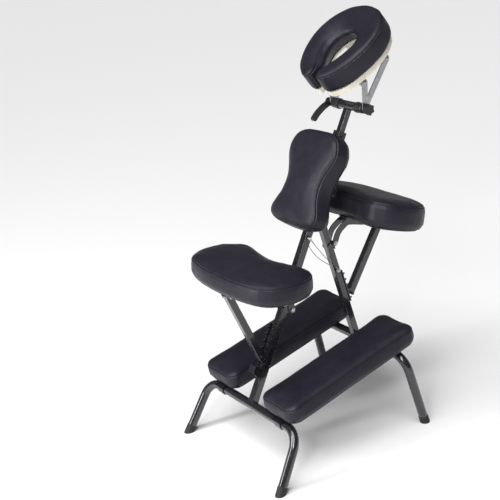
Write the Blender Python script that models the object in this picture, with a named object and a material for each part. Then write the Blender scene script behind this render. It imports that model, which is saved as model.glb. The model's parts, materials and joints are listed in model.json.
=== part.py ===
"""Folding kneeling massage chair, in metres.

+Z is up and +Y is the way the sitter faces, so the seat is at -Y, the armrest at +Y
and the sitter's right hand at +X. Every physical piece is one object.
"""

import math

import bmesh
import bpy
from mathutils import Matrix, Vector

# ---------------------------------------------------------------- dimensions
GAP = 0.0003                 # air between pieces that touch
Y_SHIFT = -0.0470            # brings the middle of the bounding box onto the Z axis

TUBE_R = 0.013               # round leg tube
LEG_BEND_R = 0.052           # centre-line radius of the leg bends
LEG_HALF_SPREAD = 0.225      # half the distance between the feet
CROSSBAR_HALF = 0.2095       # half the crossbar, to where the leg lines meet it
REAR_FOOT_Y = -0.272
FRONT_FOOT_Y = 0.247
FOOT_CAP_R = 0.0140

POST_A = (-0.1917, 0.1341)   # (Y, Z) of the foot of the main post's axis
POST_A_LEAN = math.radians(28.76)
POST_A_HALF = 0.011
POST_A_TOP = 0.7983
POST_B = (0.1958, 0.2214)    # (Y, Z) of the foot of the front post's axis
POST_B_HALF = 0.010
POST_WALL = 0.0015
BAR_ON_A, BAR_ON_B = 0.0095, -0.0020   # crossbar axes, along their posts

FOLD_Y, FOLD_Z = 0.0365, 0.546      # fold pivot, in the main post's frame
CABLE_ON_A, CABLE_ON_B = 0.498, 0.233
CABLE_X = 0.0147             # limit cables pass outside the armrest's lug
WIRE_R, SLEEVE_R, EYE_HALF = 0.0011, 0.0016, 0.0014
SEAT_PIVOT = (0.0195, 0.2951)       # in the main post's frame
ARM_PIVOT = (0.0150, 0.3158)        # in the front post's frame
LUG_T = 0.0025
BRACKET_T = 0.003            # arms of the seat's and the armrest's brackets
RATCHET_HALF, RATCHET_T = 0.0128, 0.0022

SEAT_PIN = (0.0300, 0.1506)  # strut pin: distance from the main post's axis, and along it
ARM_PIN = (0.0225, 0.1380)   # the same for the armrest strut on the front post
TOOTH_GAP = 0.0045           # pin axis to the tips of the teeth
SEAT_TEETH = (0.1400, 0.1726, 0.1926, 0.2126, 0.2326)   # along the post
ARM_TEETH = (0.1320, 0.1580, 0.1760, 0.1940, 0.2140)
SEAT_TOOTH_H, ARM_TOOTH_H = 0.0080, 0.0050
SEAT_TAIL, ARM_TAIL = 0.0090, 0.0020   # strut tube past its pin
STRUT_HALF = 0.010

SEAT_C = (-0.157, 0.4952)    # (Y, Z) of the middle of the seat board's underside
SEAT_TILT = math.radians(3.4)
SEAT_STRUT_TOP = (-0.2240, 0.4850)
ARM_C = (0.2572, 0.5701)     # the same for the armrest board
ARM_TILT = math.radians(17.5)
ARM_STRUT_TOP = (0.3100, 0.5390)

BOARD_T = 0.010
SEAT_PAD_T = 0.052
ARM_PAD_T = 0.067
KNEE_PAD_T = 0.046
CHEST_PAD_T = 0.055
KNEE_X = 0.1375
KNEE_BOARD_Z = 0.0170        # board's underside above the crossbar axes
KNEE_HALF_W, KNEE_FROM, KNEE_TO = 0.0770, -0.0115, 0.4590
KNEE_CORNER_R = 0.034

CHEST_Z = 0.6514             # middle of the chest pad, along the main post
CHEST_BACK = 0.0172          # board's back face from the post's axis

TBAR_Z = 0.8771              # T-bar axis, along the main post
TBAR_R = 0.0125
ROD_R = 0.005
CRADLE_TILT = math.radians(-36.0)
CUSHION_Y = 0.0925           # middle of the face cushion, in the cradle's frame
CUSHION_BASE = 0.0967
CUSHION_T = 0.067
PIVOT_F = (0.1425, 0.0448)   # forehead-side pivots, in the cradle's frame
PIVOT_C = (0.0454, 0.0560)   # chin-side pivots
ARM_T = 0.003

# half outlines, from the +Y middle round the +X side to the -Y middle
BEAN = [(0, .094), (.06, .101), (.12, .112), (.165, .108), (.205, .075),
        (.222, .015), (.21, -.048), (.17, -.09), (.09, -.111), (0, -.116)]
SEAT_SCALE = (0.948, 0.935)
ARM_SCALE = (0.900, 0.980)
HOURGLASS = [(0, .1392), (.0495, .1373), (.0851, .1229), (.104, .0912), (.1049, .0595),
             (.0931, .0269), (.0842, -.0096), (.0871, -.0432), (.099, -.0768), (.1049, -.1008),
             (.094, -.1248), (.0574, -.1373), (0, -.1402)]
CUSHION_DISH = 0.015         # how far the cushion's top falls towards its hole
CUSHION_FLARE = 0.020        # how far the hole widens towards its bottom
PLATFORM_T = 0.016
TIP_INSET, PLATFORM_INSET = 0.006, 0.007   # platform's edge inside the cushion's tips; more above
PLATFORM_WEB = 0.006         # platform above its channel
# half outlines of C shapes, from the outer middle round to the inner middle
FACE = [(0, .1355), (.0512, .1256), (.0949, .0925), (.12, .0425), (.1209, -.0113),
        (.1051, -.0642), (.0781, -.1038), (.0465, -.1284), (.0242, -.1331), (.0121, -.1284),
        (.0065, -.1114), (.006, -.0868), (.0121, -.0661), (.026, -.0425), (.0353, -.017),
        (.0372, .0057), (.0298, .0283), (.0158, .0406), (0, .0444)]
CHANNEL = [(0, .1133), (.0428, .1048), (.0791, .0774), (.1004, .0359), (.1014, -.0094),
           (.0893, -.0529), (.0707, -.0812), (.0521, -.0755), (.0300, -.0640), (.0380, -.0450),
           (.0480, -.0180), (.0500, .0070), (.0400, .0330), (.0210, .0520), (0, .0580)]


# ---------------------------------------------------------------- frames
def frame(y, z, lean):
    """Local Z leans from the vertical towards +Y, local X stays along X."""
    return Matrix.Translation((0, y, z)) @ Matrix.Rotation(-lean, 4, "X")


def shifted(matrix, x=0.0, y=0.0, z=0.0):
    return matrix @ Matrix.Translation((x, y, z))


A = frame(*POST_A, POST_A_LEAN)
FOLD = A @ Vector((0, FOLD_Y, FOLD_Z))
FOLD_ON_B = math.hypot(FOLD.y - POST_B[0], FOLD.z - POST_B[1])
B = frame(*POST_B, math.atan2(FOLD.y - POST_B[0], FOLD.z - POST_B[1]))
REAR_BAR = A @ Vector((0, 0, BAR_ON_A))
FRONT_BAR = B @ Vector((0, 0, BAR_ON_B))
KNEE_SLOPE = math.atan2(FRONT_BAR.z - REAR_BAR.z, FRONT_BAR.y - REAR_BAR.y)
KNEE_SPAN = math.hypot(FRONT_BAR.z - REAR_BAR.z, FRONT_BAR.y - REAR_BAR.y)
ROD = A @ Vector((0, 0, TBAR_Z))
SEAT_HINGE = A @ Vector((0, *SEAT_PIVOT))
ARM_HINGE = B @ Vector((0, *ARM_PIVOT))
SEAT = frame(*SEAT_C, SEAT_TILT)
ARMREST = frame(*ARM_C, ARM_TILT)
KNEE = frame(REAR_BAR.y, REAR_BAR.z, -KNEE_SLOPE)
CHEST = shifted(A, 0, -CHEST_BACK, CHEST_Z) @ Matrix.Rotation(math.pi / 2, 4, "X")
CRADLE = frame(ROD.y, ROD.z, CRADLE_TILT)
ALONG_X = Matrix.Rotation(math.pi / 2, 4, "Y")


# ---------------------------------------------------------------- materials
def material(name, colour, metallic, roughness):
    made = bpy.data.materials.new(name)
    made.use_nodes = True
    shader = made.node_tree.nodes["Principled BSDF"]
    shader.inputs["Base Color"].default_value = (*colour, 1)
    shader.inputs["Metallic"].default_value = metallic
    shader.inputs["Roughness"].default_value = roughness
    made.diffuse_color = (*colour, 1)
    return made


# ---------------------------------------------------------------- builders
def finish(name, mesh, look, matrix, smooth=False):
    obj = bpy.data.objects.new(name, mesh)
    obj.matrix_world = matrix
    mesh.materials.append(material(name, *look))
    for face in mesh.polygons:
        face.use_smooth = smooth
    bpy.context.collection.objects.link(obj)
    return obj


def from_bmesh(name, bm, look, matrix, smooth=False):
    bmesh.ops.recalc_face_normals(bm, faces=bm.faces)
    mesh = bpy.data.meshes.new(name)
    bm.to_mesh(mesh)
    bm.free()
    return finish(name, mesh, look, matrix, smooth)


def rings_solid(name, rings, look, matrix, smooth=False):
    """A closed skin over equal rings of points, with a flat cap at each end."""
    bm = bmesh.new()
    loops = [[bm.verts.new(point) for point in ring] for ring in rings]
    count = len(rings[0])
    for low, high in zip(loops, loops[1:]):
        for i in range(count):
            j = (i + 1) % count
            bm.faces.new((low[i], low[j], high[j], high[i]))
    bm.faces.new(loops[0][::-1])
    bm.faces.new(loops[-1])
    return from_bmesh(name, bm, look, matrix, smooth)


def prism(name, outline, low, high, look, matrix):
    """An outline in local XY, extruded from low to high along local Z."""
    rings = [[(x, y, z) for x, y in outline] for z in (low, high)]
    return rings_solid(name, rings, look, matrix)


def side_plate(name, outline, low, high, look, matrix):
    """An outline in local YZ, extruded from low to high along local X."""
    rings = [[(x, y, z) for y, z in outline] for x in (low, high)]
    return rings_solid(name, rings, look, matrix)


def box(name, low, high, look, matrix):
    outline = [(low[0], low[1]), (high[0], low[1]), (high[0], high[1]), (low[0], high[1])]
    return prism(name, outline, low[2], high[2], look, matrix)


def lathe(name, profile, look, matrix, steps=24):
    """A closed profile of (radius, height) turned about local Z; radius 0 is allowed."""
    bm = bmesh.new()
    loops = []
    for radius, height in profile:
        if radius == 0:
            loops.append([bm.verts.new((0, 0, height))] * steps)
            continue
        loops.append([bm.verts.new((radius * math.cos(2 * math.pi * i / steps),
                                    radius * math.sin(2 * math.pi * i / steps), height))
                      for i in range(steps)])
    for k, low in enumerate(loops):
        high = loops[(k + 1) % len(loops)]
        for i in range(steps):
            j = (i + 1) % steps
            corners = []
            for vert in (low[i], low[j], high[j], high[i]):
                if vert not in corners:
                    corners.append(vert)
            if len(corners) > 2:
                bm.faces.new(corners)
    return from_bmesh(name, bm, look, matrix)


def cylinder(name, radius, low, high, look, matrix, steps=24):
    profile = [(0, low), (radius, low), (radius, high), (0, high)]
    return lathe(name, profile, look, matrix, steps)


def square(half, bevel=0.0015):
    """A square with clipped corners, anticlockwise."""
    inner = half - bevel
    return [(half, -inner), (half, inner), (inner, half), (-inner, half),
            (-half, inner), (-half, -inner), (-inner, -half), (inner, -half)]


def square_tube(name, half, wall, low, high, look, matrix):
    bm = bmesh.new()
    outlines = (square(half), square(half - wall, 0.0006))
    loops = [[[bm.verts.new((x, y, z)) for x, y in outline] for outline in outlines]
             for z in (low, high)]
    for i in range(8):
        j = (i + 1) % 8
        bm.faces.new((loops[0][0][i], loops[0][0][j], loops[1][0][j], loops[1][0][i]))
        bm.faces.new((loops[0][1][j], loops[0][1][i], loops[1][1][i], loops[1][1][j]))
        for z in (0, 1):
            bm.faces.new((loops[z][0][i], loops[z][0][j], loops[z][1][j], loops[z][1][i]))
    return from_bmesh(name, bm, look, matrix)


def boolean(target, tool, operation):
    modifier = target.modifiers.new(operation.lower(), "BOOLEAN")
    modifier.operation = operation
    modifier.solver = "EXACT"
    modifier.object = tool
    graph = bpy.context.evaluated_depsgraph_get()
    mesh = bpy.data.meshes.new_from_object(target.evaluated_get(graph))
    target.modifiers.clear()
    old = target.data
    target.data = mesh
    look = old.materials[0]
    mesh.materials.clear()
    mesh.materials.append(look)
    for face in mesh.polygons:
        face.material_index = 0
    bpy.data.objects.remove(tool)
    bpy.data.meshes.remove(old)
    return target


def fuse(target, *others):
    for other in others:
        boolean(target, other, "UNION")
    return target


def cut(target, *tools):
    for tool in tools:
        boolean(target, tool, "DIFFERENCE")
    return target


def hole_x(radius, y, z, matrix, low=-0.2, high=0.2):
    """A cutter along local X through (y, z)."""
    return cylinder("cutter", radius, low, high, PLAIN, shifted(matrix, 0, y, z) @ ALONG_X, 20)


def spline(points, steps, closed=False):
    """Catmull-Rom through the points, with that many steps to a span."""
    count = len(points)
    out = []
    for i in range(count if closed else count - 1):
        if closed:
            around = [points[(i + k) % count] for k in (-1, 0, 1, 2)]
        else:
            around = [points[min(max(i + k, 0), count - 1)] for k in (-1, 0, 1, 2)]
        p0, p1, p2, p3 = (Vector(p) for p in around)
        for s in range(steps):
            t = s / steps
            out.append(0.5 * (2 * p1 + (p2 - p0) * t + (2 * p0 - 5 * p1 + 4 * p2 - p3) * t * t
                              + (3 * p1 - p0 - 3 * p2 + p3) * t ** 3))
    if not closed:
        out.append(Vector(points[-1]))
    return out


def mirrored(half):
    """A half outline made whole, anticlockwise."""
    whole = [(x, y) for x, y in half[::-1]]
    return whole + [(-x, y) for x, y in half[1:-1]]


def inset(outline, amount):
    """The outline moved inwards along its normals."""
    out = []
    count = len(outline)
    for i, point in enumerate(outline):
        along = (outline[(i + 1) % count] - outline[i - 1]).normalized()
        out.append(point + Vector((-along.y, along.x)) * amount)
    return out


def pad(name, outline, base, height, look, matrix, edge=0.016):
    """An upholstered block: tucked in at the bottom, rounded over at the top."""
    levels = [(0.004, 0.0), (0.0, 0.006), (0.0, height - edge),
              (edge * 0.14, height - edge * 0.5), (edge * 0.5, height - edge * 0.14),
              (edge, height)]
    rings = [[(p.x, p.y, base + z) for p in inset(outline, amount)] for amount, z in levels]
    return rings_solid(name, rings, look, matrix, True)


def rounded_block(half_w, low, high, radius, steps=6):
    out = []
    corners = ((half_w, low, -90), (half_w, high, 0), (-half_w, high, 90), (-half_w, low, 180))
    for x, y, start in corners:
        cx = x - math.copysign(radius, x)
        cy = y + radius if y == low else y - radius
        for s in range(steps + 1):
            angle = math.radians(start + 90 * s / steps)
            out.append(Vector((cx + radius * math.cos(angle), cy + radius * math.sin(angle))))
    return out


def sweep(name, path, radius, look, matrix, steps=20):
    """A round bar along a path, with flat ends."""
    tangents = []
    for i in range(len(path)):
        before = path[max(i - 1, 0)]
        after = path[min(i + 1, len(path) - 1)]
        tangents.append((after - before).normalized())
    side = tangents[0].orthogonal().normalized()
    rings = []
    for point, tangent in zip(path, tangents):
        side = (side - tangent * side.dot(tangent)).normalized()
        other = tangent.cross(side)
        rings.append([point + radius * (side * math.cos(2 * math.pi * k / steps)
                                        + other * math.sin(2 * math.pi * k / steps))
                      for k in range(steps)])
    return rings_solid(name, rings, look, matrix, True)


def arc_corner(before, corner, after, radius, steps=7):
    """Points of a bend that is tangent to both straight runs."""
    u = (before - corner).normalized()
    v = (after - corner).normalized()
    half = u.angle(v) / 2
    reach = radius / math.tan(half)
    centre = corner + (u + v).normalized() * (radius / math.sin(half))
    start = corner + u * reach - centre
    end = corner + v * reach - centre
    turn = start.angle(end)
    return [centre + (start * math.sin(turn * (1 - s / steps)) + end * math.sin(turn * s / steps))
            / math.sin(turn) for s in range(steps + 1)]


def bar_outline(path, half, round_ends=(True, True), steps=6):
    """A flat bar's outline along a centre line in a plane."""
    path = [Vector(p) for p in path]
    left, right = [], []
    for i, point in enumerate(path):
        along = (path[min(i + 1, len(path) - 1)] - path[max(i - 1, 0)]).normalized()
        normal = Vector((-along.y, along.x)) * half
        left.append(point + normal)
        right.append(point - normal)

    def cap(centre, start):
        base = math.atan2(start.y - centre.y, start.x - centre.x)
        return [centre + Vector((math.cos(base - math.pi * s / steps),
                                 math.sin(base - math.pi * s / steps))) * half
                for s in range(1, steps)]

    out = list(left)
    if round_ends[1]:
        out += cap(path[-1], left[-1])
    out += right[::-1]
    if round_ends[0]:
        out += cap(path[0], right[0])
    return out[::-1]


# ---------------------------------------------------------------- looks
PLAIN = ((0.5, 0.5, 0.5), 0.0, 0.5)
STEEL = ((0.055, 0.055, 0.060), 0.6, 0.38)
ZINC = ((0.62, 0.62, 0.60), 1.0, 0.30)
ALUMINIUM = ((0.70, 0.71, 0.72), 1.0, 0.35)
PLASTIC = ((0.020, 0.020, 0.022), 0.0, 0.40)
RUBBER = ((0.018, 0.018, 0.018), 0.0, 0.75)
VINYL = ((0.022, 0.021, 0.026), 0.0, 0.42)
BOARD = ((0.030, 0.029, 0.030), 0.0, 0.75)
CREAM = ((0.80, 0.77, 0.66), 0.0, 0.35)


def clear_scene():
    for obj in list(bpy.data.objects):
        bpy.data.objects.remove(obj)


# ---------------------------------------------------------------- leg frames
def leg_frame(name, cap_name, bar, foot_y):
    """An inverted U of round tube and its two rubber feet."""
    ends = {}
    for side in (-1, 1):
        foot = Vector((side * LEG_HALF_SPREAD, foot_y, 0))
        corner = Vector((side * CROSSBAR_HALF, bar.y, bar.z))
        ends[side] = (foot, corner)
    path = []
    left_foot, left_corner = ends[-1]
    right_foot, right_corner = ends[1]
    lift = 0.009
    path.append(left_foot + (left_corner - left_foot).normalized() * lift)
    path += arc_corner(left_foot, left_corner, right_corner, LEG_BEND_R)
    path += arc_corner(left_corner, right_corner, right_foot, LEG_BEND_R)
    path.append(right_foot + (right_corner - right_foot).normalized() * lift)
    sweep(name, path, TUBE_R, STEEL, Matrix.Identity(4))
    for side, label in ((-1, "left"), (1, "right")):
        foot, corner = ends[side]
        up = (corner - foot).normalized()
        matrix = Matrix.Translation(foot) @ up.to_track_quat("Z", "Y").to_matrix().to_4x4()
        bore = TUBE_R + GAP
        floor = lift - GAP
        cap = lathe(cap_name + label,
                    [(0, -0.012), (FOOT_CAP_R, -0.012), (FOOT_CAP_R, 0.021),
                     (FOOT_CAP_R - 0.0008, 0.022), (bore, 0.022), (bore, floor), (0, floor)],
                    RUBBER, matrix)
        below = box("cutter", (-0.05, -0.05, -0.05), (0.05, 0.05, 0.0), PLAIN,
                    Matrix.Translation((foot.x, foot.y, 0)))
        cut(cap, below)


# ---------------------------------------------------------------- posts
def main_post():
    post = square_tube("main_post", POST_A_HALF, POST_WALL, BAR_ON_A + 0.005, POST_A_TOP, STEEL, A)
    cut(post,
        hole_x(TUBE_R + GAP, 0, BAR_ON_A, A),
        hole_x(0.0032, 0, CABLE_ON_A, A))
    collar = square_tube("post_collar", 0.0135, 0.0135 - POST_A_HALF - GAP,
                         POST_A_TOP - 0.026, POST_A_TOP + 0.002, PLASTIC, A)
    fuse(collar, square_tube("lip", 0.0135, 0.0045, POST_A_TOP + GAP, POST_A_TOP + 0.004,
                             PLASTIC, A),
         cylinder("boss", 0.0045, 0.0125, 0.0195, PLASTIC,
                  shifted(A, 0, 0, POST_A_TOP - 0.012) @ ALONG_X, 16))


def front_post():
    post = square_tube("front_post", POST_B_HALF, POST_WALL, BAR_ON_B + 0.005,
                       FOLD_ON_B + 0.008, STEEL, B)
    cut(post,
        hole_x(TUBE_R + GAP, 0, BAR_ON_B, B),
        hole_x(0.0042, 0, FOLD_ON_B, B),
        hole_x(0.0032, 0, CABLE_ON_B, B))


def cross_bolt(name, radius, half_grip, matrix, y, z, head=0.0035):
    """A bolt along X through a post: a domed head and a nut outside the grip."""
    big = radius * 1.6
    grip = half_grip + GAP
    profile = [(0, -grip - head), (big * 0.7, -grip - head), (big, -grip - head * 0.4),
               (big, -grip), (radius, -grip), (radius, grip), (big, grip),
               (big, grip + head * 0.8), (radius, grip + head * 0.8),
               (radius * 0.8, grip + head + 0.0015), (0, grip + head + 0.0015)]
    return lathe(name, profile, ZINC, shifted(matrix, 0, y, z) @ ALONG_X, 18)


def fold_bracket():
    face = POST_A_HALF + GAP
    base = box("fold_bracket", (-0.0134, face, FOLD_Z - 0.025),
               (0.0134, face + 0.0025, FOLD_Z + 0.025), STEEL, A)
    outline = [(face + 0.001, FOLD_Z - 0.018), (FOLD_Y, FOLD_Z - 0.012)]
    for s in range(1, 9):
        angle = -math.pi / 2 + math.pi * s / 9
        outline.append((FOLD_Y + 0.012 * math.cos(angle), FOLD_Z + 0.012 * math.sin(angle)))
    outline += [(FOLD_Y, FOLD_Z + 0.012), (face + 0.001, FOLD_Z + 0.018)]
    for low in (-0.0134, POST_B_HALF + 0.0004):
        fuse(base, side_plate("ear", outline, low, low + 0.003, STEEL, A))
    cut(base, hole_x(0.0042, FOLD_Y, FOLD_Z, A))
    cross_bolt("fold_bolt", 0.004, 0.0134, A, FOLD_Y, FOLD_Z)


def ratchet(name, half, matrix, sign, tip, tooth_h, teeth, foot):
    """A toothed channel on a post's sign side; foot is its outline up to the first tooth."""
    face = half + GAP
    root = tip - tooth_h
    low, high = foot[0][1], teeth[-1] + 0.012
    outline = [(face, low)] + foot
    for tooth in teeth:
        outline += [(root, tooth - 0.006), (tip, tooth - 0.004), (tip, tooth),
                    (root, tooth + 0.001)]
    outline += [(root, high), (face, high)]
    outline = [(sign * y, z) for y, z in outline]
    web_y = sorted((sign * face, sign * (face + 0.002)))
    body = box(name, (-RATCHET_HALF, web_y[0], low), (RATCHET_HALF, web_y[1], high), STEEL,
               matrix)
    for x in (-RATCHET_HALF, RATCHET_HALF - RATCHET_T):
        fuse(body, side_plate("flange", outline, x, x + RATCHET_T, STEEL, matrix))
    return body


def lug(name, half, pivot, web, matrix):
    """A U-shaped bracket round a post's +Y face that holds a hinge bolt behind it."""
    inner = half + GAP
    outer = inner + LUG_T
    y, z = pivot
    body = box(name, (-outer, inner, web[0]), (outer, outer, web[1]), STEEL, matrix)
    plate = bar_outline([(-0.002, z - 0.004), (y, z)], 0.0090)
    for x in (-outer, inner):
        fuse(body, side_plate("side", plate, x, x + LUG_T, STEEL, matrix))
    return cut(body, hole_x(0.0042, y, z, matrix))


# ---------------------------------------------------------------- seat and armrest
def strut(name, bolt_name, top, pin, tail, board_name, board_matrix):
    """A square strut from under a board down to its ratchet, with its bolt and bracket."""
    top = Vector((0, *top))
    pin = Vector(pin)
    rise = top - pin
    lean = math.atan2(rise.y, rise.z)
    matrix = frame(pin.y, pin.z, lean)
    body = square_tube(name, STRUT_HALF, POST_WALL, -tail, rise.length + 0.006, STEEL, matrix)
    cut(body, hole_x(0.0032, 0, rise.length, matrix))
    fuse(body, cylinder("pin", 0.004, -0.017, 0.017, STEEL, matrix @ ALONG_X, 18))
    local = board_matrix.inverted() @ top
    y, z = local.y, local.z
    plate = box(board_name, (-0.030, y - 0.020, -0.0033), (0.030, y + 0.020, -GAP),
                STEEL, board_matrix)
    ear = [(y + 0.016, -0.0025), (y - 0.016, -0.0025), (y - 0.010, z - 0.005),
           (y - 0.005, z - 0.009), (y + 0.005, z - 0.009), (y + 0.010, z - 0.005)]
    for x in (-0.0130, 0.0104):
        fuse(plate, side_plate("ear", ear, x, x + 0.0026, STEEL, board_matrix))
    cut(plate, hole_x(0.0032, y, z, board_matrix))
    cross_bolt(bolt_name, 0.003, 0.0130, board_matrix, y, z)


def hinge_arms(name, half, outline, plate, matrix):
    """Two flat arms either side of a post, joined by a plate under a board."""
    inner = half + 0.0004
    outer = inner + BRACKET_T
    arms = box(name, (-outer, plate[0], plate[1] - BRACKET_T), (outer, plate[2], plate[1]),
               STEEL, matrix)
    for x in (-outer, inner):
        fuse(arms, side_plate("arm", outline, x, x + BRACKET_T, STEEL, matrix))
    return arms


def bean(scale, turn=1):
    points = [(x * scale[0], y * scale[1]) for x, y in BEAN]
    return [p * turn for p in spline(mirrored(points), 3, True)]


def seat_group():
    outline = bean(SEAT_SCALE)
    prism("seat_board", [tuple(p) for p in inset(outline, 0.008)], 0, BOARD_T, BOARD, SEAT)
    pad("seat_pad", outline, BOARD_T + GAP, SEAT_PAD_T, VINYL, SEAT, 0.020)
    pivot = SEAT.inverted() @ SEAT_HINGE
    y, z = pivot.y, pivot.z
    path = spline([(y, z), (y - 0.011, z + 0.036), (y - 0.037, z + 0.068), (y - 0.079, z + 0.088),
                   (y - 0.1285, z + 0.0945)], 4)
    bar = bar_outline([tuple(p) for p in path], 0.0105, (True, False))
    outside = POST_A_HALF + GAP + LUG_T
    arms = hinge_arms("seat_bracket", outside, bar, (y - 0.1275, -GAP, y - 0.0655), SEAT)
    above = box("cutter", (-0.1, -0.3, -GAP), (0.1, 0.3, 0.05), PLAIN, SEAT)
    cut(arms, above, hole_x(0.0042, y, z, SEAT))
    lug("seat_lug", POST_A_HALF, SEAT_PIVOT, (0.284, 0.306), A)
    cross_bolt("seat_hinge_bolt", 0.004, outside + 0.0034, A, *SEAT_PIVOT)
    ratchet("seat_ratchet", POST_A_HALF, A, -1, SEAT_PIN[0] - TOOTH_GAP, SEAT_TOOTH_H, SEAT_TEETH,
            [(0.0175, 0.0890), (0.0405, 0.0990), (0.0405, 0.1200), (0.0345, 0.1200),
             (0.0250, 0.1130), (0.0175, 0.1130)])
    lip = box("lip", (-RATCHET_HALF, -0.0405, 0.0990), (RATCHET_HALF, -0.0385, 0.1200), STEEL, A)
    fuse(bpy.data.objects["seat_ratchet"], lip)
    strut("seat_strut", "seat_strut_bolt", SEAT_STRUT_TOP,
          A @ Vector((0, -SEAT_PIN[0], SEAT_PIN[1])), SEAT_TAIL, "seat_strut_bracket", SEAT)


def armrest_group():
    outline = bean(ARM_SCALE, -1)
    prism("armrest_board", [tuple(p) for p in inset(outline, 0.008)], 0, BOARD_T, BOARD, ARMREST)
    pad("armrest_pad", outline, BOARD_T + GAP, ARM_PAD_T, VINYL, ARMREST, 0.020)
    pivot = ARMREST.inverted() @ ARM_HINGE
    y, z = pivot.y, pivot.z
    path = spline([(y, z), (y + 0.006, z + 0.032), (y + 0.026, z + 0.056),
                   (-0.064, -0.0105), (-0.012, -0.0095)], 4)
    bar = bar_outline([tuple(p) for p in path], 0.0095, (True, False))
    outside = POST_B_HALF + GAP + LUG_T
    arms = hinge_arms("armrest_bracket", outside, bar, (-0.080, -GAP, -0.014), ARMREST)
    above = box("cutter", (-0.1, -0.3, -GAP), (0.1, 0.3, 0.05), PLAIN, ARMREST)
    cut(arms, above, hole_x(0.0042, y, z, ARMREST))
    lug("armrest_lug", POST_B_HALF, ARM_PIVOT, (0.298, 0.3095), B)
    cross_bolt("armrest_hinge_bolt", 0.004, outside + 0.0034, B, *ARM_PIVOT)
    ratchet("armrest_ratchet", POST_B_HALF, B, 1, ARM_PIN[0] - TOOTH_GAP, ARM_TOOTH_H, ARM_TEETH,
            [(0.0130, 0.1180)])
    strut("armrest_strut", "armrest_strut_bolt", ARM_STRUT_TOP,
          B @ Vector((0, *ARM_PIN)), ARM_TAIL, "armrest_strut_bracket", ARMREST)


# ---------------------------------------------------------------- knee pads
def knee_pads():
    outline = rounded_block(KNEE_HALF_W, KNEE_FROM, KNEE_TO, KNEE_CORNER_R)
    for side, label in ((-1, "left"), (1, "right")):
        matrix = Matrix.Translation((side * KNEE_X, 0, 0)) @ KNEE
        prism("knee_board_" + label, [tuple(p) for p in inset(outline, 0.006)],
              KNEE_BOARD_Z, KNEE_BOARD_Z + BOARD_T, BOARD, matrix)
        pad("knee_pad_" + label, outline, KNEE_BOARD_Z + BOARD_T + GAP, KNEE_PAD_T, VINYL, matrix)
        plate_top = KNEE_BOARD_Z - GAP
        ring = TUBE_R + GAP
        hinge = lathe("knee_hinge_" + label,
                      [(ring, -0.012), (ring + 0.0025, -0.012), (ring + 0.0025, 0.012),
                       (ring, 0.012)], STEEL, matrix @ ALONG_X)
        fuse(hinge, box("tab", (-0.018, -0.018, plate_top - 0.0025), (0.018, 0.042, plate_top),
                        STEEL, matrix))
        rest = box("knee_rest_" + label, (-0.018, KNEE_SPAN - 0.038, TUBE_R + GAP),
                   (0.018, KNEE_SPAN + 0.0165, plate_top), STEEL, matrix)
        fuse(rest, box("lip", (-0.018, KNEE_SPAN + 0.0140, -0.009),
                       (0.018, KNEE_SPAN + 0.0165, plate_top - 0.001), STEEL, matrix))


# ---------------------------------------------------------------- chest pad
def star(radius, lobes, depth, steps):
    out = []
    for i in range(steps):
        angle = 2 * math.pi * i / steps
        r = radius - depth * 0.5 * (1 + math.cos(lobes * angle))
        out.append((r * math.cos(angle), r * math.sin(angle)))
    return out


def chest_group():
    outline = spline(mirrored(HOURGLASS), 3, True)
    prism("chest_board", [tuple(p) for p in inset(outline, 0.008)], 0, BOARD_T, BOARD, CHEST)
    pad("chest_pad", outline, BOARD_T + GAP, CHEST_PAD_T, VINYL, CHEST, 0.020)
    inner = POST_A_HALF + GAP
    low, high = CHEST_Z - 0.060, CHEST_Z + 0.062
    carriage = square_tube("chest_carriage", 0.0140, 0.0140 - inner, low + 0.028, high - 0.012,
                           STEEL, A)
    plate_back = -CHEST_BACK + GAP
    fuse(carriage, box("plate", (-0.054, plate_back, low), (0.054, -0.0137, high), STEEL, A))
    for x in (-0.040, 0.040):
        fuse(carriage, box("flange", (x * 0.72 - 0.0012, -0.0150, low + 0.002),
                           (x * 0.72 + 0.0012, -0.0030, high - 0.002), STEEL, A))
        for z in (low + 0.018, high - 0.018):
            matrix = shifted(A, x, -0.0141, z) @ Matrix.Rotation(-math.pi / 2, 4, "X")
            fuse(carriage, lathe("bolt_head", [(0, 0), (0.0055, 0), (0.0050, 0.0022),
                                               (0.0030, 0.0034), (0, 0.0038)], STEEL, matrix, 14))
    outward = shifted(A, 0, 0, CHEST_Z - 0.012) @ Matrix.Rotation(-math.pi / 2, 4, "X")
    fuse(carriage, cylinder("boss", 0.008, 0.0130, 0.0210, STEEL, outward, 18))
    cut(carriage, cylinder("cutter", 0.0033, 0.005, 0.04, PLAIN, outward, 18))
    knob = cylinder("chest_knob", 0.003, POST_A_HALF + GAP, 0.0300, PLASTIC, outward, 18)
    fuse(knob, cylinder("hub", 0.008, 0.0213, 0.0260, PLASTIC, outward, 18),
         prism("lobes", star(0.0175, 5, 0.003, 40), 0.0250, 0.0420, PLASTIC, outward))


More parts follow.
